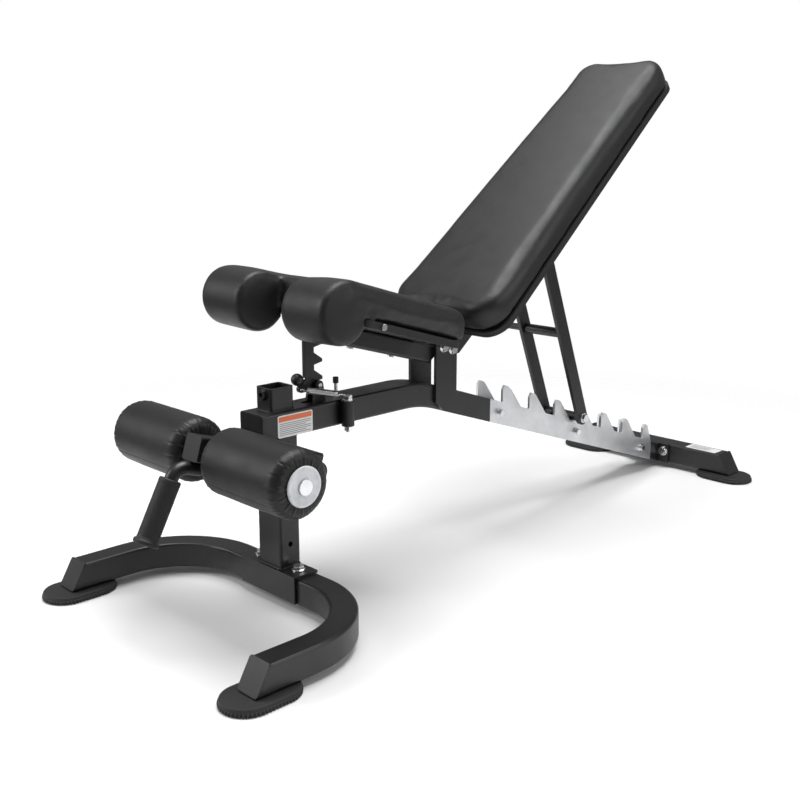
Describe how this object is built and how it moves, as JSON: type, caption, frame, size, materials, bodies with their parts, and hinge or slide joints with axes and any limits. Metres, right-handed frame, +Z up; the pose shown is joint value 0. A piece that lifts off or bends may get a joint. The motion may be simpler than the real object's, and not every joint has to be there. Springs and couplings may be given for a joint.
{
  "type": "decline sit up bench",
  "caption": "Decline sit-up bench with tilting seat, adjustable backrest on a toothed catch ladder and sliding foam leg rollers.",
  "frame": {"origin": "floor level, centre of the overall length and width", "axes": "+X towards the head end of the backrest, +Z up, +Y towards the side of the strut's hand rod"},
  "size_m": [1.5, 0.596, 0.9289],
  "materials": {
    "black_steel": "satin",
    "ladder_steel": "satin",
    "chrome": "polished",
    "vinyl": "grained",
    "board": "painted",
    "rubber": "matte",
    "black_plastic": "matte",
    "white_plastic": "gloss"
  },
  "bodies": {
    "base": {"front_base": "black_steel", "rear_base": "black_steel", "front_end_plates": "black_steel", "rear_end_plates": "black_steel", "front_foot_near": "rubber", "front_foot_far": "rubber", "rear_foot_near": "rubber", "rear_foot_far": "rubber", "foot_screws": "chrome", "pivot_side_plate_near": "black_steel", "pivot_side_plate_far": "black_steel", "catch_ladder_near": "ladder_steel", "catch_ladder_far": "ladder_steel", "catch_lugs": "black_steel", "front_saddle": "black_steel", "mount_bolts": "chrome", "front_post": "black_steel", "leg_socket": "black_steel", "main_beam": "black_steel", "beam_cap": "black_plastic", "accessory_receiver": "black_steel", "ladder_bolts": "chrome", "rear_mount": "black_steel", "catch_pin": "chrome", "seat_stop_stud": "chrome", "seat_stop_cap": "rubber", "spring_bush": "black_steel", "spring_bolt": "chrome", "seat_spring": "chrome", "pull_pin_barrel": "black_steel", "pivot_bolts": "chrome"},
    "seat": {"seat_frame": "black_steel", "seat_board": "board", "seat_screws": "chrome", "seat_pad": "vinyl", "ladder_pivot_bolt": "chrome"},
    "seat_hook": {"seat_ladder": "black_steel", "release_stem": "chrome", "release_knob": "black_plastic"},
    "backrest": {"backrest_frame": "black_steel", "backrest_board": "board", "backrest_pad": "vinyl", "back_screws": "chrome"},
    "strut": {"strut_leg_near": "black_steel", "strut_leg_far": "black_steel", "catch_bar": "black_steel", "strut_bolts": "chrome", "strut_handle": "black_steel"},
    "leg_holder": {"leg_tube": "black_steel", "leg_tube_caps": "black_plastic", "roller_axle": "chrome", "axle_screws": "chrome", "grip_stem": "black_steel", "grip": "rubber"},
    "roller_near": {"foam_roller_near": "vinyl", "roller_hub_near": "white_plastic"},
    "roller_far": {"foam_roller_far": "vinyl", "roller_hub_far": "white_plastic"},
    "lock_pin": {"pull_pin": "chrome", "pull_knob": "black_plastic"}
  },
  "joints": [
    {"name": "backrest_tilt", "type": "hinge", "parent": "base", "child": "backrest", "pos_m": [-0.061, 0, 0.384], "axis": [0, -1, 0], "range_deg": [0, 36]},
    {"name": "strut_swing", "type": "hinge", "parent": "backrest", "child": "strut", "pos_m": [0.18618, 0, 0.56023], "axis": [0, -1, 0], "range_deg": [-36, 0]},
    {"name": "seat_tilt", "type": "hinge", "parent": "base", "child": "seat", "pos_m": [-0.085, 0, 0.391], "axis": [0, 1, 0], "range_deg": [0, 6]},
    {"name": "ladder_release", "type": "hinge", "parent": "seat", "child": "seat_hook", "pos_m": [-0.37326, 0, 0.45597], "axis": [0, 1, 0], "range_deg": [0, 11.5], "stiffness_Nm_per_rad": 3, "springref_deg": -28.65, "deforming": ["seat_spring"]},
    {"name": "leg_slide", "type": "slide", "parent": "base", "child": "leg_holder", "axis": [-0.9537, 0, 0.3007], "range_m": [-0.04, 0.04]},
    {"name": "pin_pull", "type": "slide", "parent": "base", "child": "lock_pin", "axis": [0, -1, 0], "range_m": [0, 0.012], "stiffness_N_per_m": 800, "springref_m": -0.006},
    {"name": "roller_near_spin", "type": "hinge", "parent": "leg_holder", "child": "roller_near", "pos_m": [-0.57339, 0, 0.27646], "axis": [0, 1, 0], "continuous": true},
    {"name": "roller_far_spin", "type": "hinge", "parent": "leg_holder", "child": "roller_far", "pos_m": [-0.57339, 0, 0.27646], "axis": [0, 1, 0], "continuous": true}
  ],
  "couplings": [
    {"joint": "strut_swing", "follows": "backrest_tilt", "ratio": -1}
  ]
}
